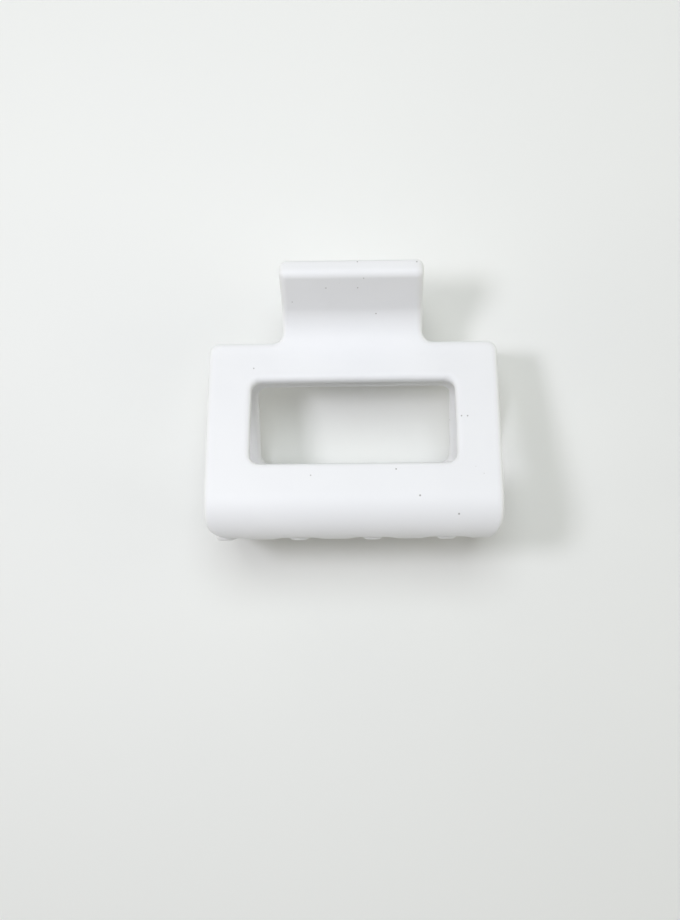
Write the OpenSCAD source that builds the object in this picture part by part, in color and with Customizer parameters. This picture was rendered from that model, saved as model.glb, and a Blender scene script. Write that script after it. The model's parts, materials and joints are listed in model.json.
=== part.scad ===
// Claw clip: two identical moulded jaws with interleaved teeth, a steel hinge pin and a torsion spring.
// The clip lies on its rear jaw's bend and tab. X runs along the hinge pin, +Y towards the thumb tabs, +Z up.
// Each jaw is drawn as the front one, about the hinge axis, in the plane that lies midway between the jaws.

/* [Jaw] */
// Width of a jaw
jaw_w = 70; // [64:1:76]
// Wall thickness of the plate
wall = 3.2; // [2.8:0.1:3.6]
// Distance from the mid plane to the outer face at the neck
neck_half = 7.4; // [7.2:0.1:8]
// Radius of the outer face between neck and plate
neck_r = 12; // [10:1:15]
// Length of the plate's outer face, from the neck to the bend
plate_len = 34.2; // [32:0.1:36]
// Slope of the plate beside the neck
plate_slope_top = 24; // [22:0.5:26]
// Slope of the plate beside the bend
plate_slope_end = 20; // [18:0.5:22]
// Outer radius of the bend into the teeth
bend_r = 8.9; // [8.5:0.1:9.5]
// Radius of the plate's corners
corner_r = 2.4; // [1.5:0.1:3]

/* [Window] */
// Width of the window
window_w = 49; // [44:0.2:50]
// Height of the window, along the plate
window_h = 21.5; // [18:0.1:22]
// Distance from the hinge axis to the window's middle, in the outer face
window_mid = 20.2; // [20:0.1:21]
// Radius of the window's corners
window_r = 2.4; // [1.5:0.1:3]

/* [Thumb tab] */
// Width of the tab
tab_w = 34; // [32:0.2:38]
// Radius of the tab's hollow outer face
tab_r = 8; // [7:0.1:12]
// Angle that the tab flares out by
tab_rise = 57; // [50:1:60]
// Distance from the mid plane to the tab's outer corner
tab_half = 21.6; // [18:0.1:22]
// Thickness of the tab's rounded end
lip_t = 5.1; // [4.4:0.1:5.2]
// Edge radius of the tab's end
lip_r = 1.8; // [1:0.1:2]
// Distance from the hinge axis to the plate's upper edge
shoulder = 1.1; // [1:0.1:2.5]
// Fillet between the tab and the plate's upper edge
shoulder_r = 2.6; // [2:0.1:3]

/* [Teeth] */
// Number of teeth on a jaw
teeth = 4; // [4:1:4]
// Distance between the teeth of one jaw
pitch = 17.6; // [17:0.1:17.6]
// Width of a tooth at its root
root_w = 8.2; // [7:0.1:8.4]
// Width of a tooth at its tip
tip_w = 4.8; // [4:0.1:5]
// Thickness of a tooth at its tip
tip_t = 2.3; // [2:0.1:2.6]
// Fillet between the teeth and the plate's lower edge
root_r = 1.8; // [1.2:0.1:2]
// Radius of the corners of the plate's lower edge
end_r = 7; // [5:0.5:7]
// Angle that the teeth lean outwards by
splay = 0.5; // [0:0.5:1]
// Gap between a tooth's tip and the other jaw
tip_gap = 0.3; // [0.3:0.1:1]

/* [Hinge] */
// Radius of the hinge lugs
lug_r = 3.5; // [3.2:0.1:3.7]
// Thickness of a hinge lug
lug_t = 3; // [2.5:0.1:3.2]
// Inner face of the inner lug, from the clip's middle
lug_in = 7.6; // [7.2:0.1:8]
// Gap between neighbouring lugs
lug_gap = 0.4; // [0.3:0.05:0.6]
// Radius of the hinge pin
pin_r = 1.1; // [1:0.05:1.2]
// Running clearance of the pin in its lugs, on the radius
pin_play = 0.05; // [0.02:0.01:0.08]
// Radius of the pin's head
head_r = 1.9; // [1.7:0.1:2.2]

/* [Spring] */
// Diameter of the spring wire
wire_d = 1.1; // [1:0.1:1.2]
// Mean radius of the coil
coil_r = 2.3; // [2.2:0.1:2.4]
// Length of the coil between the middles of its end turns
coil_len = 11.6; // [10.5:0.1:12.4]
// Whole turns of the coil
turns = 8; // [7:1:9]
// Angle of each leg from the mid plane, where it leaves the coil
leg_angle = 12; // [10:0.5:13]
// Angle of each leg from the mid plane, along the tab
leg_end_angle = 34; // [24:0.5:36]
// Length of each leg before its bend
leg_start_len = 4.4; // [4:0.2:5]
// Length of each leg after its bend
leg_end_len = 6; // [5:0.5:6]

/* [Hidden] */

arc_step = 5;          // degrees between the points of a small arc
tip_steps = 12;        // steps round a tooth's tip
over = 30;             // reach of a cutting shape past the part

// Outer face of the plate, as points of the mid plane distance against the distance from the hinge
plate_r = plate_len / ((plate_slope_top - plate_slope_end) * PI / 180);
neck_end = [-neck_r * sin(plate_slope_top), neck_half + neck_r * (1 - cos(plate_slope_top))];
plate_end = neck_end + plate_r * [sin(plate_slope_end) - sin(plate_slope_top),
                                  cos(plate_slope_end) - cos(plate_slope_top)];
bend_c = plate_end - bend_r * [sin(plate_slope_end), cos(plate_slope_end)];
half_depth = bend_c.y + bend_r;                   // the bend's furthest point from the mid plane
bend_turn = 90 - splay;
tooth_root = bend_c + bend_r * [-sin(bend_turn), cos(bend_turn)];
web_v = bend_c.y + bend_r / 5;                    // lower edge of the plate between the teeth
tip_v = -(web_v - tip_gap);
tooth_len = (tooth_root.y - tip_v) / cos(splay);
tooth_tip = tooth_root + tooth_len * [-sin(splay), -cos(splay)];

// Outer face of the tab, up to the sharp corner that the lip's radius then rounds
tab_dir = [cos(tab_rise), sin(tab_rise)];
tab_in = [sin(tab_rise), -cos(tab_rise)];         // from the outer face to the inner one
tab_c = [0, neck_half + tab_r];
arc_end = tab_c + tab_r * [sin(tab_rise), -cos(tab_rise)];
lip_len = (tab_half - arc_end.y) / sin(tab_rise);
lip_front = arc_end + lip_len * tab_dir;
lip_back = lip_front + lip_t * tab_in;
tab_arc_len = tab_r * tab_rise * PI / 180;

// The rear jaw touches the floor with its bend and its tab's end: one line touches both round profiles
lip_c = lip_front - lip_r * (tab_dir - tab_in);
rest_run = lip_c - bend_c;
lie = atan2(rest_run.y, rest_run.x) - asin((bend_r - lip_r) / norm(rest_run));
function lean(p) = [p.x * cos(lie) - p.y * sin(lie), p.x * sin(lie) + p.y * cos(lie)];
hinge_z = bend_r - lean([bend_c.x, -bend_c.y]).y;
low_y = lean([bend_c.x, -bend_c.y]).x - bend_r;
high_y = lean(lip_back - lip_r * (tab_dir + tab_in)).x + lip_r;
hinge_y = -(low_y + high_y) / 2;
lug_out = lug_in + lug_t + lug_gap;               // inner face of the outer lug
pin_half = lug_out + lug_t + 0.15;
lug_root = neck_half - wall / 2;
bore_r = pin_r + pin_play;

// Points of an arc about c, from angle a to angle b
function arc(c, r, a, b, n) = [for (i = [0:n]) c + r * [cos(a + (b - a) * i / n), sin(a + (b - a) * i / n)]];
function steps(turn) = max(2, ceil(abs(turn) / arc_step));

// Thickness of the tab at a share of its length
function tab_t(share) = wall + (lip_t - wall) * share;

// Side profile of a jaw: the outer face from the tooth's tip to the tab's end, then the inner face back
function outer_face() = concat(
    [tooth_tip],
    arc(bend_c, bend_r, 90 + bend_turn, 90 - plate_slope_end, steps(bend_turn)),
    [for (i = [1:8]) let (s = plate_slope_end + (plate_slope_top - plate_slope_end) * i / 8)
        neck_end + plate_r * [sin(s) - sin(plate_slope_top), cos(s) - cos(plate_slope_top)]],
    [for (i = [1:6]) let (s = plate_slope_top * (1 - i / 6))
        [-neck_r * sin(s), neck_half + neck_r * (1 - cos(s))]],
    [for (i = [1:12]) let (s = tab_rise * i / 12) tab_c + tab_r * [sin(s), -cos(s)]]);

function lip() = concat(
    arc(lip_front - lip_r * (tab_dir - tab_in), lip_r, tab_rise + 90, tab_rise, 6),
    arc(lip_back - lip_r * (tab_dir + tab_in), lip_r, tab_rise, tab_rise - 90, 6));

function inner_face() = concat(
    [for (i = [12:-1:0]) let (s = tab_rise * i / 12, share = tab_arc_len * i / 12 / (tab_arc_len + lip_len))
        tab_c + (tab_r + tab_t(share)) * [sin(s), -cos(s)]],
    [for (i = [5:-1:0]) let (s = plate_slope_top * (1 - i / 6))
        [-(neck_r + wall) * sin(s), neck_half + neck_r - (neck_r + wall) * cos(s)]],
    [for (i = [7:-1:0]) let (s = plate_slope_end + (plate_slope_top - plate_slope_end) * i / 8)
        neck_end + plate_r * [sin(s) - sin(plate_slope_top), cos(s) - cos(plate_slope_top)]
        - wall * [sin(s), cos(s)]],
    arc(bend_c, bend_r - wall, 90 - plate_slope_end, 90 + bend_turn, steps(bend_turn)),
    [tooth_tip + tip_t * [cos(splay), -sin(splay)]]);

module side_profile() {
    polygon(concat(outer_face(), lip(), inner_face()));
}

// Front outline of a jaw: plate, shoulders and tab, down to where the teeth's outline takes over
function half_outline() = let (
    edge = jaw_w / 2,
    tab = tab_w / 2,
    top = -shoulder,
    end = lip_back.x)
    concat(
        arc([edge - corner_r, top - corner_r], corner_r, 0, 90, 6),
        arc([tab + shoulder_r, top + shoulder_r], shoulder_r, 270, 180, 6),
        arc([tab - lip_r, end - lip_r], lip_r, 0, 90, 6));

module front_outline() {
    right = half_outline();
    left = [for (i = [len(right) - 1:-1:0]) [-right[i].x, right[i].y]];
    polygon(concat([[jaw_w / 2, bend_c.x - 2]], right, left, [[-jaw_w / 2, bend_c.x - 2]]));
}

// The window goes through the plate at right angles to it
window_slope = (plate_slope_top + plate_slope_end) / 2;
window_v = neck_end.y + (window_mid + neck_end.x) * tan(window_slope);

module window_tool() {
    x = window_w / 2 - window_r;
    y = window_h / 2 - window_r;
    translate([0, -window_mid, window_v]) rotate([-window_slope, 0, 0]) linear_extrude(16, center = true)
        polygon(concat(arc([x, y], window_r, 0, 90, 6), arc([-x, y], window_r, 90, 180, 6),
                       arc([-x, -y], window_r, 180, 270, 6), arc([x, -y], window_r, 270, 360, 6)));
}

// Outline of the teeth, seen from their roots' side: [x, distance from the mid plane].
// The last tooth stands under a corner of the plate, so its outer side is straight.
tooth_x = [for (i = [0:teeth - 1]) (i - (teeth - 1) / 2) * pitch + pitch / 4];
tip_r = tip_w / 2;
corner_x = jaw_w / 2 - end_r;
last_turn = acos((tooth_x[teeth - 1] + tip_r - corner_x) / end_r);

function tooth_outline(x, last) = concat(
    arc([x - root_w / 2 - root_r, web_v - root_r], root_r, 90, 0, 5),
    arc([x, tip_v + tip_r], tip_r, 180, 360, tip_steps),
    last ? [] : arc([x + root_w / 2 + root_r, web_v - root_r], root_r, 180, 90, 5));

module teeth_outline() {
    polygon(concat(
        [[jaw_w / 2, half_depth + 1], [-jaw_w / 2, half_depth + 1]],
        arc([-corner_x, web_v + end_r], end_r, 180, 270, 9),
        [for (i = [0:teeth - 1]) each tooth_outline(tooth_x[i], i == teeth - 1)],
        arc([corner_x, web_v + end_r], end_r, -last_turn, 0, 5)));
}

module jaw_shell() {
    intersection() {
        rotate([90, 0, 90]) linear_extrude(jaw_w + 2, center = true) side_profile();
        union() {
            linear_extrude(over) front_outline();
            translate([0, bend_c.x - 1.9, 0]) rotate([90, 0, 0]) linear_extrude(over) teeth_outline();
        }
    }
}

// A hinge lug whose inner face is at x, standing on the neck's inner face
module lug(x) {
    translate([x, 0, 0]) rotate([90, 0, 90]) linear_extrude(lug_t) {
        circle(lug_r, $fn = 48);
        translate([-lug_r, 0]) square([2 * lug_r, lug_root]);
    }
}

module jaw() {
    difference() {
        union() {
            jaw_shell();
            lug(lug_in);
            lug(-lug_out - lug_t);
        }
        window_tool();
        translate([-over, 0, 0]) rotate([0, 90, 0]) cylinder(r = bore_r, h = 2 * over, $fn = 48);
    }
}

module on_floor() {
    translate([0, hinge_y, hinge_z]) rotate([lie, 0, 0]) children();
}

module front_jaw() {
    color("white") on_floor() jaw();
}

module rear_jaw() {
    color("whitesmoke") on_floor() rotate([0, 180, 0]) jaw();
}

// Straight pin with a flat head at one end and a peened rim at the other
module hinge_pin() {
    head_t = 0.8;
    rim_t = 0.5;
    rim_r = pin_r + 0.35;
    color("silver") on_floor() rotate([0, 90, 0]) {
        translate([0, 0, -pin_half]) cylinder(r = pin_r, h = 2 * pin_half, $fn = 48);
        translate([0, 0, pin_half]) cylinder(r1 = head_r, r2 = head_r - 0.4, h = head_t, $fn = 48);
        translate([0, 0, -pin_half - rim_t]) cylinder(r1 = rim_r - 0.3, r2 = rim_r, h = rim_t, $fn = 48);
    }
}

// Torsion spring: front leg, coil and rear leg as one swept wire
ring_sides = 10;
rings_per_turn = 22;
wrap = 360 * turns + 180 - 2 * leg_angle;
coil_rings = ceil(wrap / 360 * rings_per_turn);

function coil_point(share) = let (a = 90 + leg_angle + wrap * share)
    [coil_len * (0.5 - share), coil_r * cos(a), coil_r * sin(a)];
function leg_way(angle, side) = [0, cos(angle), side * sin(angle)];
function leg_bend(side) = coil_point(side > 0 ? 0 : 1) + leg_start_len * leg_way(leg_angle, side);
function leg_end(side) = leg_bend(side) + leg_end_len * leg_way(leg_end_angle, side);
wire_path = concat([leg_end(1), leg_bend(1)], [for (i = [0:coil_rings]) coil_point(i / coil_rings)],
                   [leg_bend(-1), leg_end(-1)]);

function unit(v) = v / norm(v);
function wire_ring(i) = let (
    n = len(wire_path),
    t = unit(wire_path[min(i + 1, n - 1)] - wire_path[max(i - 1, 0)]),
    side = unit([1, 0, 0] - t.x * t),
    up = cross(t, side))
    [for (k = [0:ring_sides - 1]) let (a = 360 * k / ring_sides)
        wire_path[i] + wire_d / 2 * (cos(a) * side + sin(a) * up)];

module torsion_spring() {
    rings = len(wire_path);
    points = [for (i = [0:rings - 1]) each wire_ring(i)];
    start = [for (k = [0:ring_sides - 1]) k];
    end = [for (k = [ring_sides - 1:-1:0]) (rings - 1) * ring_sides + k];
    walls = [for (i = [0:rings - 2]) for (k = [0:ring_sides - 1])
        let (a = i * ring_sides + k, b = i * ring_sides + (k + 1) % ring_sides)
        [a, a + ring_sides, b + ring_sides, b]];
    color("dimgray") on_floor() polyhedron(points = points, faces = concat([start], walls, [end]));
}

front_jaw();
rear_jaw();
hinge_pin();
torsion_spring();
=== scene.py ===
"""Claw clip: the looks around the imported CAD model.

Both jaws are one moulding, so its mesh is made once, as the zero surface of a distance function in
millimetres, and turned half round for the rear jaw. The pin is a lathed shape and the spring is a swept wire.
"""

import json
import math

import bpy
import numpy as np
from mathutils import Matrix, Vector


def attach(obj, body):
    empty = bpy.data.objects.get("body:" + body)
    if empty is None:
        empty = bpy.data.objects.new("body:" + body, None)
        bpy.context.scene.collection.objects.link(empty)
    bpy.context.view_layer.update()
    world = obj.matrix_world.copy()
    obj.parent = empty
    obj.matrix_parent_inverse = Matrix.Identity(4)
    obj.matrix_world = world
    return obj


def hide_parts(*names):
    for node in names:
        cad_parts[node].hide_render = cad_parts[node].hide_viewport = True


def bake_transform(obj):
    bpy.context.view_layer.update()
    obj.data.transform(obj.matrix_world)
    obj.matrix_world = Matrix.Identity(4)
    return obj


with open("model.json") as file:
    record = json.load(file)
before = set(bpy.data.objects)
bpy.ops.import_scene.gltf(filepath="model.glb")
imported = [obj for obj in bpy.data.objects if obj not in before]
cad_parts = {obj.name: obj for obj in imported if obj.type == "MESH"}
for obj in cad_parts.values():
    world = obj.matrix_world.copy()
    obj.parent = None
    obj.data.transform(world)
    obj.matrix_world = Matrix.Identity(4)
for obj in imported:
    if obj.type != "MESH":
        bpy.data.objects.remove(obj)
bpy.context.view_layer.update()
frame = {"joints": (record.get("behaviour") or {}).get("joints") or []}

MM = 0.001
HINGE = np.array(frame["joints"][0]["pos_m"]) / MM  # the hinge axis at the clip's middle, mm


def rad(degrees):
    return degrees * math.pi / 180


# ---------------------------------------------------------------- the jaw's sizes, mm, as in the CAD model
HALF_W = 35.0
WALL = 3.2
NECK_HALF = 7.4
NECK_R = 12.0
PLATE_LEN = 34.2
SLOPE_TOP = rad(24)
SLOPE_END = rad(20)
BEND_R = 8.9
CORNER_R = 2.4
WINDOW_HALF_W = 24.5
WINDOW_H = 21.5
WINDOW_MID = -20.2
WINDOW_R = 2.4
TAB_HALF_W = 17.0
TAB_R = 8.0
TAB_RISE = rad(57)
TAB_HALF = 21.6
LIP_T = 5.1
LIP_R = 1.8
SHOULDER = -1.1
SHOULDER_R = 2.6
TEETH = 4
PITCH = 17.6
ROOT_W = 8.2
TIP_W = 4.8
TIP_T = 2.3
ROOT_R = 1.8
SPLAY = rad(0.5)
TIP_GAP = 0.3
END_R = 7.0
LUG_R = 3.5
LUG_T = 3.0
LUG_IN = 7.6
LUG_OUT = 11.0
PIN_R = 1.1
BORE_R = 1.15
EDGE_SHARE = 0.43  # edge radius as a share of the wall
LUG_FILLET = 0.6
LUG_EDGE_R = 0.35
BORE_EDGE_R = 0.2
JAW_LOW = (-36, -50.3, -14.8)  # a box around one jaw
JAW_HIGH = (36, 18.8, 23.2)

PLATE_R = PLATE_LEN / (SLOPE_TOP - SLOPE_END)
NECK_END = np.array([-NECK_R * math.sin(SLOPE_TOP), NECK_HALF + NECK_R * (1 - math.cos(SLOPE_TOP))])
PLATE_C = NECK_END - PLATE_R * np.array([math.sin(SLOPE_TOP), math.cos(SLOPE_TOP)])
PLATE_END = PLATE_C + PLATE_R * np.array([math.sin(SLOPE_END), math.cos(SLOPE_END)])
BEND_C = PLATE_END - BEND_R * np.array([math.sin(SLOPE_END), math.cos(SLOPE_END)])
BEND_TURN = rad(90) - SPLAY
TOOTH_ROOT = BEND_C + BEND_R * np.array([-math.sin(BEND_TURN), math.cos(BEND_TURN)])
WEB_V = BEND_C[1] + BEND_R / 5
TIP_V = TIP_GAP - WEB_V
TOOTH_LEN = (TOOTH_ROOT[1] - TIP_V) / math.cos(SPLAY)
TAB_ARC_END = np.array([TAB_R * math.sin(TAB_RISE), NECK_HALF + TAB_R * (1 - math.cos(TAB_RISE))])
TAB_DIR = np.array([math.cos(TAB_RISE), math.sin(TAB_RISE)])
LIP_LEN = (TAB_HALF - TAB_ARC_END[1]) / math.sin(TAB_RISE)
TAB_ARC_LEN = TAB_R * TAB_RISE
WINDOW_SLOPE = (SLOPE_TOP + SLOPE_END) / 2
WINDOW_V = NECK_END[1] + (NECK_END[0] - WINDOW_MID) * math.tan(WINDOW_SLOPE)

# the clip lies on the bend and the tab of its rear jaw, so its middle plane leans
LIP_C = TAB_ARC_END + LIP_LEN * TAB_DIR - LIP_R * (TAB_DIR - np.array([TAB_DIR[1], -TAB_DIR[0]]))
REST_RUN = LIP_C - BEND_C
LEAN = math.atan2(REST_RUN[1], REST_RUN[0]) - math.asin((BEND_R - LIP_R) / np.hypot(*REST_RUN))
TURN = np.array([[1, 0, 0], [0, math.cos(LEAN), -math.sin(LEAN)], [0, math.sin(LEAN), math.cos(LEAN)]])


def to_row(p):
    """Hinge-centred millimetres, with the middle plane level, to the row frame in metres."""
    return (np.asarray(p) @ TURN.T + HINGE) * MM


# ---------------------------------------------------------------- camera
# place and turn against the clip's middle plane, in mm and degrees
CAM_PLACE = (4.13, -30.09, 318.8)
CAM_TILT, CAM_PAN, CAM_ROLL = 0.07, 1.38, -0.60
FOCAL = 50.1  # mm, for a 36 mm long side


def add_camera():
    data = bpy.data.cameras.new("camera")
    data.sensor_fit = "AUTO"
    data.sensor_width = 36
    data.lens = FOCAL
    data.clip_start = 0.01
    data.clip_end = 10
    cam = bpy.data.objects.new("camera", data)
    turn = Matrix.Rotation(LEAN, 4, "X") @ Matrix.Rotation(rad(CAM_TILT), 4, "X")
    turn = turn @ Matrix.Rotation(rad(CAM_PAN), 4, "Y") @ Matrix.Rotation(rad(CAM_ROLL), 4, "Z")
    cam.matrix_world = Matrix.Translation(to_row(CAM_PLACE)) @ turn
    bpy.context.scene.collection.objects.link(cam)
    bpy.context.scene.camera = cam


add_camera()


# ---------------------------------------------------------------- distance functions, negative inside
def round_and(a, b, r):
    """The part inside both a and b, with the edge between them rounded to r."""
    return np.minimum(-r, np.maximum(a, b)) + np.hypot(np.maximum(a + r, 0), np.maximum(b + r, 0))


def round_or(a, b, r):
    """The part inside a or b, with a fillet of r where they meet."""
    return np.maximum(r, np.minimum(a, b)) - np.hypot(np.maximum(r - a, 0), np.maximum(r - b, 0))


def corner(x, y, r):
    """The quarter plane x < 0, y < 0 with its corner rounded to r."""
    return np.hypot(np.maximum(x + r, 0), np.maximum(y + r, 0)) + np.minimum(np.maximum(x + r, y + r), 0) - r


def line_part(u, v, start, direction, length, low, high):
    """A straight run of the side profile: distance from its outer face, miss past the ends, share along."""
    along = (u - start[0]) * direction[0] + (v - start[1]) * direction[1]
    out = (v - start[1]) * direction[0] - (u - start[0]) * direction[1]
    share = along / length
    return out, np.maximum(low - share, 0) + np.maximum(share - high, 0), share


def arc_part(u, v, centre, r, a0, a1, outer):
    """The same for an arc from angle a0 to a1. outer is -1 where the centre is outside the jaw."""
    du, dv = u - centre[0], v - centre[1]
    dist = np.hypot(du, dv)
    mid = (a0 + a1) / 2
    turn = np.arctan2(dv, du) - mid
    turn = (turn + math.pi) % (2 * math.pi) - math.pi
    half = abs(a1 - a0) / 2
    miss = np.maximum(np.abs(turn) - half, 0)
    share = 0.5 + turn / (a1 - a0)
    return outer * (dist - r), miss, share


def profile(u, v):
    """Side profile of a jaw: signed distance, and the local wall thickness. The nearest piece decides."""
    endless = 9  # lengths, for a run that other shapes cut off
    never = 1e6  # keeps a piece out where the point is past its ends
    reach = 30
    pieces = []
    tip = TOOTH_ROOT - TOOTH_LEN * np.array([math.sin(SPLAY), math.cos(SPLAY)])
    up = np.array([math.sin(SPLAY), math.cos(SPLAY)])
    out, miss, share = line_part(u, v, tip, up, TOOTH_LEN, -endless, 1)
    pieces.append((out, miss, TIP_T + (WALL - TIP_T) * np.clip(share, 0, 1)))
    out, miss, share = arc_part(u, v, BEND_C, BEND_R, rad(90) + BEND_TURN, rad(90) - SLOPE_END, 1)
    pieces.append((out, miss, WALL))
    out, miss, share = arc_part(u, v, PLATE_C, PLATE_R, rad(90) - SLOPE_END, rad(90) - SLOPE_TOP, 1)
    pieces.append((out, miss, WALL))
    out, miss, share = arc_part(u, v, (0, NECK_HALF + NECK_R), NECK_R, rad(270) - SLOPE_TOP, rad(270), -1)
    pieces.append((out, miss, WALL))
    grow = (LIP_T - WALL) / (TAB_ARC_LEN + LIP_LEN)
    out, miss, share = arc_part(u, v, (0, NECK_HALF + TAB_R), TAB_R, rad(270), rad(270) + TAB_RISE, -1)
    pieces.append((out, miss, WALL + grow * TAB_ARC_LEN * np.clip(share, 0, 1)))
    out, miss, share = line_part(u, v, TAB_ARC_END, TAB_DIR, LIP_LEN, 0, endless)
    pieces.append((out, miss, WALL + grow * (TAB_ARC_LEN + LIP_LEN * np.clip(share, 0, 1))))

    best = np.full(np.shape(u), 1e9)
    result = np.full(np.shape(u), 1e9)
    wall = np.full(np.shape(u), WALL)
    for out, miss, t in pieces:
        score = np.abs(out) + never * miss
        t = np.broadcast_to(t, np.shape(u))
        take = score < best
        best = np.where(take, score, best)
        result = np.where(take, np.abs(out + t / 2) - t / 2, result)
        wall = np.where(take, t, wall)
    return np.where(best > reach, 9.0, result), wall


def front_outline(x, u, v):
    """Plate, shoulders and tab seen from the front, less the window, which is square to the plate."""
    ax = np.abs(x)
    plate = corner(ax - HALF_W, u - SHOULDER, CORNER_R)
    body = round_or(plate, np.maximum(ax - TAB_HALF_W, -u - 20), SHOULDER_R)
    along = (u - WINDOW_MID) * math.cos(WINDOW_SLOPE) - (v - WINDOW_V) * math.sin(WINDOW_SLOPE)
    window = corner(ax - WINDOW_HALF_W, np.abs(along) - WINDOW_H / 2, WINDOW_R)
    return np.maximum(body, -window)


def lip_end(u, v):
    """Distance past the plane of the tab's end."""
    end = TAB_ARC_END + LIP_LEN * TAB_DIR
    return (u - end[0]) * TAB_DIR[0] + (v - end[1]) * TAB_DIR[1]


def teeth_outline(x, v):
    """Teeth and the plate's lower edge, seen from their own side. The last tooth's outer side is straight."""
    shape = corner(np.abs(x) - HALF_W, WEB_V - v, END_R)
    tip_r = TIP_W / 2
    round_v = TIP_V + tip_r
    lean = (ROOT_W - TIP_W) / 2 / (WEB_V - TIP_V)
    for i in range(TEETH):
        dx = x - (i - (TEETH - 1) / 2) * PITCH - PITCH / 4
        slope = np.where(dx > 0, 0, lean) if i == TEETH - 1 else lean
        side = (np.abs(dx) - tip_r - (v - round_v) * slope) / np.hypot(1, slope)
        tooth = np.where(v > round_v, side, np.hypot(dx, v - round_v) - tip_r)
        shape = round_or(shape, np.maximum(tooth, v - WEB_V - 6), ROOT_R)
    return shape


def along_bend(u, v):
    """Distance from the mid plane, at the outer face, of the line square to the wall through a point."""
    du, dv = u - BEND_C[0], v - BEND_C[1]
    out = BEND_C[1] + BEND_R * dv / np.maximum(np.hypot(du, dv), 0.1)
    return np.where((du < 0) & (dv > 0), out, v)


def lugs(x, u, v):
    flat = np.where(v < 0, np.hypot(u, v), np.abs(u)) - LUG_R
    flat = np.maximum(flat, v - NECK_HALF + WALL / 2)
    inner = np.abs(x - LUG_IN - LUG_T / 2) - LUG_T / 2
    outer = np.abs(x + LUG_OUT + LUG_T / 2) - LUG_T / 2
    return round_and(flat, np.minimum(inner, outer), LUG_EDGE_R)


def jaw(x, u, v):
    wall_sd, wall = profile(u, v)
    edge = EDGE_SHARE * wall
    front = front_outline(x, u, v)
    teeth = teeth_outline(x, along_bend(u, v))
    outline = np.where(u > BEND_C[0], front, teeth)
    end = lip_end(u, v)
    outline = np.where(u > 0, corner(outline, end, LIP_R), outline)
    shell = round_and(wall_sd, outline, np.minimum(edge, LIP_R))
    solid = round_or(shell, lugs(x, u, v), LUG_FILLET)
    bore = BORE_R - np.hypot(u, v)
    near = np.hypot(u, v) < LUG_R + 1
    return np.where(near, round_and(solid, bore, BORE_EDGE_R), solid)


# ---------------------------------------------------------------- a closed quad mesh of a distance function
def surface(f, low, high, step):
    """Surface nets: a vertex in each cell that the surface crosses, a quad over each crossed grid edge."""
    axes = [np.arange(a, b + step, step) for a, b in zip(low, high)]
    shape = tuple(len(a) for a in axes)
    value = np.empty(shape, np.float32)
    for i, x in enumerate(axes[0]):
        u, v = np.meshgrid(axes[1], axes[2], indexing="ij")
        value[i] = f(np.full(u.shape, x), u, v)
    inside = value < 0
    cells = tuple(n - 1 for n in shape)
    total = np.zeros(cells + (3,), np.float32)
    count = np.zeros(cells, np.float32)
    offsets = [(i, j, k) for i in (0, 1) for j in (0, 1) for k in (0, 1)]

    def at(array, o):
        return array[o[0]:o[0] + cells[0], o[1]:o[1] + cells[1], o[2]:o[2] + cells[2]]

    for o in offsets:
        for d in range(3):
            if o[d]:
                continue
            p = tuple(o[i] + (i == d) for i in range(3))
            a, b = at(value, o), at(value, p)
            cross = at(inside, o) != at(inside, p)
            t = np.where(cross, a / np.where(cross, a - b, 1), 0)
            for i in range(3):
                total[..., i] += np.where(cross, o[i] + (t if i == d else 0), 0)
            count += cross
    used = count > 0
    index = np.full(cells, -1, np.int64)
    index[used] = np.arange(used.sum())
    where = np.argwhere(used)
    verts = (where + total[used] / count[used][:, None]) * step + np.array([a[0] for a in axes])
    faces = []
    for d in range(3):
        e, g = (d + 1) % 3, (d + 2) % 3
        size = [slice(0, n) for n in shape]
        size[d] = slice(0, shape[d] - 1)
        first = inside[tuple(size)]
        size[d] = slice(1, shape[d])
        second = inside[tuple(size)]
        edge = np.argwhere(first != second)
        keep = (edge[:, e] > 0) & (edge[:, g] > 0) & (edge[:, e] < cells[e]) & (edge[:, g] < cells[g])
        edge = edge[keep]
        leaving = first[tuple(edge.T)]
        quad = []
        for de, dg in ((1, 1), (0, 1), (0, 0), (1, 0)):
            cell = edge.copy()
            cell[:, e] -= de
            cell[:, g] -= dg
            quad.append(index[tuple(cell.T)])
        quad = np.stack(quad, 1)
        quad[~leaving] = quad[~leaving][:, ::-1]
        faces.append(quad)
    return verts, np.concatenate(faces)


def settle(f, p, rounds):
    """Moves points onto the surface along its gradient."""
    h = 0.02
    longest = 0.3
    for _ in range(rounds):
        x, u, v = p.T
        value = f(x, u, v)
        grad = np.stack([
            f(x + h, u, v) - f(x - h, u, v),
            f(x, u + h, v) - f(x, u - h, v),
            f(x, u, v + h) - f(x, u, v - h)], 1) / (2 * h)
        size = np.maximum((grad ** 2).sum(1), 0.25)
        p = p - np.clip(value / size, -longest, longest)[:, None] * grad
    return p


def even_out(f, p, quads, rounds):
    """Spreads the vertices evenly over the surface."""
    pull = 0.6
    for _ in range(rounds):
        middle = p[quads].mean(1)
        total = np.zeros_like(p)
        for i in range(3):
            total[:, i] = np.bincount(quads.ravel(), np.repeat(middle[:, i], 4), len(p))
        count = np.bincount(quads.ravel(), minlength=len(p))
        p = p + pull * (total / count[:, None] - p)
        p = settle(f, p, 1)
    return settle(f, p, 2)


def add_mesh(name, verts, faces):
    mesh = bpy.data.meshes.new(name)
    mesh.from_pydata([tuple(c) for c in verts], [], [tuple(int(i) for i in q) for q in faces])
    mesh.validate()
    mesh.update()
    mesh.shade_smooth()
    obj = bpy.data.objects.new(name, mesh)
    bpy.context.scene.collection.objects.link(obj)
    return obj


STEP = 0.36
verts, quads = surface(jaw, JAW_LOW, JAW_HIGH, STEP)
verts = settle(jaw, verts, 3)
verts = even_out(jaw, verts, quads, 3)

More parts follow.
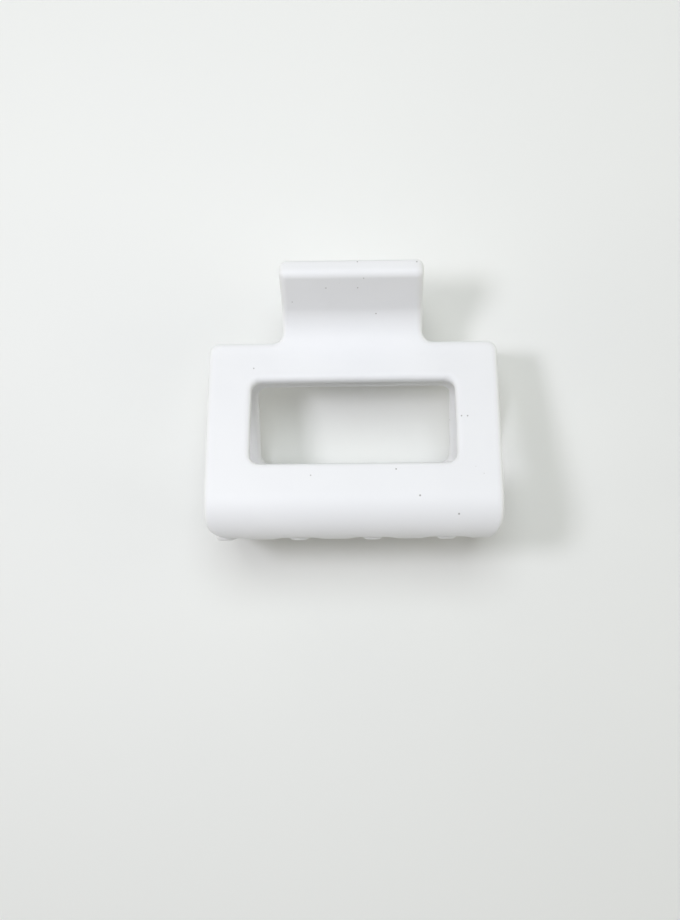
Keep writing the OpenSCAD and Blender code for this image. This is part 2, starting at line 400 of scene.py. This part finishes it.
front_shell = add_mesh("front_jaw_shell", to_row(verts), quads)
turned = verts * np.array([-1, 1, -1])
rear_shell = add_mesh("rear_jaw_shell", to_row(turned), quads)


# ---------------------------------------------------------------- pin and spring
def lathe(outline, sides):
    """A closed shape turned about the hinge axis from (x, radius) points; both ends are on the axis."""
    verts, faces = [], []
    ring = [2 * math.pi * k / sides for k in range(sides)]
    verts.append((outline[0][0], 0, 0))
    for x, r in outline[1:-1]:
        verts += [(x, r * math.cos(a), r * math.sin(a)) for a in ring]
    verts.append((outline[-1][0], 0, 0))
    rows = len(outline) - 2
    last = len(verts) - 1
    for k in range(sides):
        n = (k + 1) % sides
        faces.append((0, 1 + n, 1 + k))
        for i in range(rows - 1):
            a, b = 1 + i * sides, 1 + (i + 1) * sides
            faces.append((a + k, a + n, b + n, b + k))
        faces.append((last, last - sides + k, last - sides + n))
    return verts, faces


def rounded(points, r, n=5):
    """Rounds the inner corners of a polyline of (x, radius) points."""
    points = [np.array(p, float) for p in points]
    out = [points[0]]
    for a, b, c in zip(points, points[1:], points[2:]):
        to_a, to_c = a - b, c - b
        la, lc = np.linalg.norm(to_a), np.linalg.norm(to_c)
        cut = min(r, 0.45 * la, 0.45 * lc)
        start, end = b + to_a / la * cut, b + to_c / lc * cut
        for i in range(n + 1):
            t = i / n
            out.append((1 - t) ** 2 * start + 2 * t * (1 - t) * b + t ** 2 * end)
    out.append(points[-1])
    return out


PIN_HALF = LUG_OUT + LUG_T + 0.15
HEAD_R, HEAD_T = 1.9, 0.8
RIM_R, RIM_T = 1.45, 0.5
pin_outline = rounded([
    (-PIN_HALF - RIM_T, 0), (-PIN_HALF - RIM_T, RIM_R - 0.3), (-PIN_HALF, RIM_R), (-PIN_HALF, PIN_R),
    (PIN_HALF, PIN_R), (PIN_HALF, HEAD_R), (PIN_HALF + HEAD_T, HEAD_R - 0.4), (PIN_HALF + HEAD_T, 0)], 0.14)
pin_verts, pin_faces = lathe(pin_outline, 48)
pin = add_mesh("steel_pin", to_row(pin_verts), pin_faces)

WIRE_R = 0.55
COIL_R = 2.3
COIL_LEN = 11.6
TURNS = 8
LEG_ANGLE = rad(12)
LEG_END_ANGLE = rad(34)
LEG_START_LEN = 4.4
LEG_END_LEN = 6.0
LEG_BEND_CUT = 1.6
WRAP = 2 * math.pi * TURNS + math.pi - 2 * LEG_ANGLE


def spring_path():
    """Front leg, coil and rear leg. Each leg leaves the coil along its tangent."""
    def leg(side):
        a = math.pi / 2 + (LEG_ANGLE if side > 0 else LEG_ANGLE + WRAP)
        base = np.array([side * COIL_LEN / 2, COIL_R * math.cos(a), COIL_R * math.sin(a)])
        first = np.array([0, math.cos(LEG_ANGLE), side * math.sin(LEG_ANGLE)])
        second = np.array([0, math.cos(LEG_END_ANGLE), side * math.sin(LEG_END_ANGLE)])
        bend = base + first * LEG_START_LEN
        start, end = bend - first * LEG_BEND_CUT, bend + second * LEG_BEND_CUT
        run = [base + (start - base) * t for t in np.linspace(0, 1, 6)[1:]]
        run += [(1 - t) ** 2 * start + 2 * t * (1 - t) * bend + t ** 2 * end
                for t in np.linspace(0, 1, 9)[1:]]
        run += [end + second * (LEG_END_LEN - LEG_BEND_CUT) * t for t in np.linspace(0, 1, 8)[1:]]
        return run

    coil = []
    n = int(WRAP / (2 * math.pi) * 40)
    for i in range(n + 1):
        t = i / n
        a = math.pi / 2 + LEG_ANGLE + WRAP * t
        coil.append(np.array([COIL_LEN * (0.5 - t), COIL_R * math.cos(a), COIL_R * math.sin(a)]))
    return np.array(leg(1)[::-1] + coil + leg(-1))


def sweep(path, r, sides):
    """A round wire along path with domed ends, in a frame that doesn't twist."""
    tangent = np.gradient(path, axis=0)
    tangent /= np.linalg.norm(tangent, axis=1)[:, None]
    side = np.array([1.0, 0, 0])
    rings = []
    caps = [(-1, 0.0), (-0.85, 0.53), (-0.5, 0.87)]
    stations = [(0, r * k, m) for k, m in caps[1:]]
    stations += [(i, 0, 1) for i in range(len(path))]
    stations += [(len(path) - 1, -r * k, m) for k, m in caps[:0:-1]]
    for i, shift, scale in stations:
        t = tangent[i]
        side = side - t * side.dot(t)
        side /= np.linalg.norm(side)
        up = np.cross(t, side)
        for k in range(sides):
            a = 2 * math.pi * k / sides
            rings.append(path[i] + t * shift + r * scale * (math.cos(a) * side + math.sin(a) * up))
    verts = [path[0] - tangent[0] * r] + rings + [path[-1] + tangent[-1] * r]
    faces = []
    last = len(verts) - 1
    for k in range(sides):
        n = (k + 1) % sides
        faces.append((0, 1 + n, 1 + k))
        for i in range(len(stations) - 1):
            a, b = 1 + i * sides, 1 + (i + 1) * sides
            faces.append((a + k, a + n, b + n, b + k))
        faces.append((last, last - sides + k, last - sides + n))
    return verts, faces


wire_verts, wire_faces = sweep(spring_path(), WIRE_R, 14)
spring = add_mesh("spring_wire", to_row(wire_verts), wire_faces)


# ---------------------------------------------------------------- materials
class Nodes:
    """Short names for building a material's node tree."""

    def __init__(self, name):
        self.material = bpy.data.materials.new(name)
        self.material.use_nodes = True
        self.tree = self.material.node_tree
        self.shader = self.tree.nodes["Principled BSDF"]
        self.coords = self.add("ShaderNodeTexCoord").outputs["Object"]

    def add(self, kind, **values):
        node = self.tree.nodes.new(kind)
        for key, value in values.items():
            setattr(node, key, value)
        return node

    def link(self, a, b):
        self.tree.links.new(a, b)

    def noise(self, scale, detail=3, rough=0.5, stretch=None):
        source = self.coords
        if stretch:
            mapping = self.add("ShaderNodeMapping")
            mapping.inputs["Scale"].default_value = stretch
            self.link(source, mapping.inputs["Vector"])
            source = mapping.outputs["Vector"]
        node = self.add("ShaderNodeTexNoise")
        node.inputs["Scale"].default_value = scale
        node.inputs["Detail"].default_value = detail
        node.inputs["Roughness"].default_value = rough
        self.link(source, node.inputs["Vector"])
        return node.outputs["Fac"]

    def span(self, value, from_low, from_high, to_low, to_high):
        node = self.add("ShaderNodeMapRange")
        numbers = (from_low, from_high, to_low, to_high)
        for key, number in zip(("From Min", "From Max", "To Min", "To Max"), numbers):
            node.inputs[key].default_value = number
        self.link(value, node.inputs["Value"])
        return node.outputs["Result"]

    def math(self, operation, a, b):
        node = self.add("ShaderNodeMath", operation=operation)
        for socket, value in zip(node.inputs, (a, b)):
            if isinstance(value, (int, float)):
                socket.default_value = value
            else:
                self.link(value, socket)
        return node.outputs[0]

    def mix(self, factor, a, b):
        node = self.add("ShaderNodeMix", data_type="RGBA")
        self.link(factor, node.inputs[0])
        for socket, value in ((node.inputs[6], a), (node.inputs[7], b)):
            if isinstance(value, tuple):
                socket.default_value = value + (1,)
            else:
                self.link(value, socket)
        return node.outputs[2]

    def specks(self, scale, size, share):
        """Rare round dots: a share of the cells of a Voronoi pattern each hold one."""
        node = self.add("ShaderNodeTexVoronoi", feature="F1")
        node.inputs["Scale"].default_value = scale
        node.inputs["Randomness"].default_value = 1
        self.link(self.coords, node.inputs["Vector"])
        parts = self.add("ShaderNodeSeparateColor")
        self.link(node.outputs["Color"], parts.inputs[0])
        chosen = self.math("LESS_THAN", parts.outputs[0], share)
        dot = self.span(node.outputs["Distance"], size * 0.5, size, 1, 0)
        return self.math("MULTIPLY", chosen, dot)

    def bump(self, *layers):
        normal = None
        for height, depth in layers:
            node = self.add("ShaderNodeBump")
            node.inputs["Strength"].default_value = 1
            node.inputs["Distance"].default_value = depth
            self.link(height, node.inputs["Height"])
            if normal:
                self.link(normal, node.inputs["Normal"])
            normal = node.outputs["Normal"]
        self.link(normal, self.shader.inputs["Normal"])


def soft_plastic():
    n = Nodes("soft_matte_plastic")
    cloud = n.noise(60, 4)
    fine = n.noise(900, 2)
    grain = n.noise(5200, 2)
    tone = n.mix(n.span(cloud, 0.35, 0.65, 0, 1), (0.80, 0.806, 0.819), (0.816, 0.821, 0.832))
    for scale, size, share in ((330, 0.1, 0.12), (700, 0.17, 0.03)):
        tone = n.mix(n.specks(scale, size, share), tone, (0.36, 0.35, 0.34))
    n.link(tone, n.shader.inputs["Base Color"])
    n.link(n.span(fine, 0.3, 0.7, 0.5, 0.6), n.shader.inputs["Roughness"])
    n.shader.inputs["Specular IOR Level"].default_value = 0.35
    n.bump((n.span(cloud, 0, 1, 0, 1), 0.00004), (grain, 0.000012))
    return n.material


def steel(name, color, stretch):
    n = Nodes(name)
    brushed = n.noise(900, 3, 0.6, stretch)
    stain = n.noise(300, 3)
    tone = n.mix(n.span(brushed, 0.3, 0.7, 0, 1), tuple(c * 0.82 for c in color), color)
    tone = n.mix(n.span(stain, 0.58, 0.8, 0, 0.35), tone, (0.30, 0.28, 0.26))
    n.link(tone, n.shader.inputs["Base Color"])
    n.shader.inputs["Metallic"].default_value = 1
    n.link(n.span(brushed, 0.3, 0.7, 0.24, 0.42), n.shader.inputs["Roughness"])
    n.bump((brushed, 0.00001))
    return n.material


plastic = soft_plastic()
pin_steel = steel("drawn_steel", (0.66, 0.66, 0.67), (0.15, 1, 1))
wire_steel = steel("spring_steel", (0.52, 0.52, 0.54), (1, 1, 1))
for obj, material in ((front_shell, plastic), (rear_shell, plastic), (pin, pin_steel), (spring, wire_steel)):
    obj.data.materials.append(material)


# ---------------------------------------------------------------- bodies
for obj, body, node, slot in (
        (front_shell, "front", "front_jaw", "jaw"),
        (rear_shell, "rear", "rear_jaw", "jaw"),
        (pin, "rear", "hinge_pin", "pin")):
    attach(obj, body)
    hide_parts(node)
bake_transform(spring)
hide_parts("torsion_spring")


# ---------------------------------------------------------------- floor and light
AIM = (0, 0, 0.015)


def add_floor():
    size = 1.6
    mesh = bpy.data.meshes.new("floor")
    corners = [(-size, -size, 0), (size, -size, 0), (size, size, 0), (-size, size, 0)]
    mesh.from_pydata(corners, [], [(0, 1, 2, 3)])
    floor = bpy.data.objects.new("floor", mesh)
    floor.location = (0, 0, -0.00005)
    bpy.context.scene.collection.objects.link(floor)
    n = Nodes("pale_glaze")
    n.shader.inputs["Base Color"].default_value = (0.825, 0.832, 0.812, 1)
    n.shader.inputs["Roughness"].default_value = 0.55
    n.shader.inputs["Specular IOR Level"].default_value = 0.2
    floor.data.materials.append(n.material)


def add_panel(name, azimuth, elevation, distance, size, strength, color):
    """A round soft panel that faces the clip. strength is the light it gives there, in units of pi W/m2."""
    data = bpy.data.lights.new(name, "AREA")
    data.shape = "DISK"
    data.size = size
    data.energy = strength * (math.pi * distance) ** 2
    data.color = color
    light = bpy.data.objects.new(name, data)
    level = math.cos(elevation)
    way = (level * math.cos(azimuth), level * math.sin(azimuth), math.sin(elevation))
    light.location = distance * Vector(way)
    light.rotation_euler = (light.location - Vector(AIM)).to_track_quat("Z", "Y").to_euler()
    light.visible_camera = False
    bpy.context.scene.collection.objects.link(light)


def add_world(color, strength):
    world = bpy.data.worlds.new("soft_room")
    world.use_nodes = True
    background = world.node_tree.nodes["Background"]
    background.inputs["Color"].default_value = color + (1,)
    background.inputs["Strength"].default_value = strength
    bpy.context.scene.world = world


add_floor()
add_world((0.97, 0.96, 1.02), 0.21)
add_panel("key", rad(169), rad(68), 0.394, 0.07, 0.285, (0.967, 0.96, 1.05))
add_panel("top", rad(90), rad(73), 0.9, 0.4, 0.355, (0.961, 1.012, 1.027))
add_panel("right", rad(0), rad(45), 0.9, 0.6, 0.07, (1.0, 1.0, 0.97))
add_panel("back", rad(120), rad(45), 0.9, 0.6, 0.04, (1.0, 1.0, 0.97))
# a ring of low panels, brighter to the left and right than in front and behind
LOW_SIDE = 0.2
LOW_WEAK = 0.06
LOW_COLOR = (1.08, 1.05, 0.84)
for azimuth in range(0, 360, 60):
    low = LOW_SIDE if azimuth in (0, 180) else LOW_WEAK
    add_panel("low_%d" % azimuth, rad(azimuth), rad(15), 0.9, 0.6, low, LOW_COLOR)
bpy.context.scene.view_settings.view_transform = "Standard"
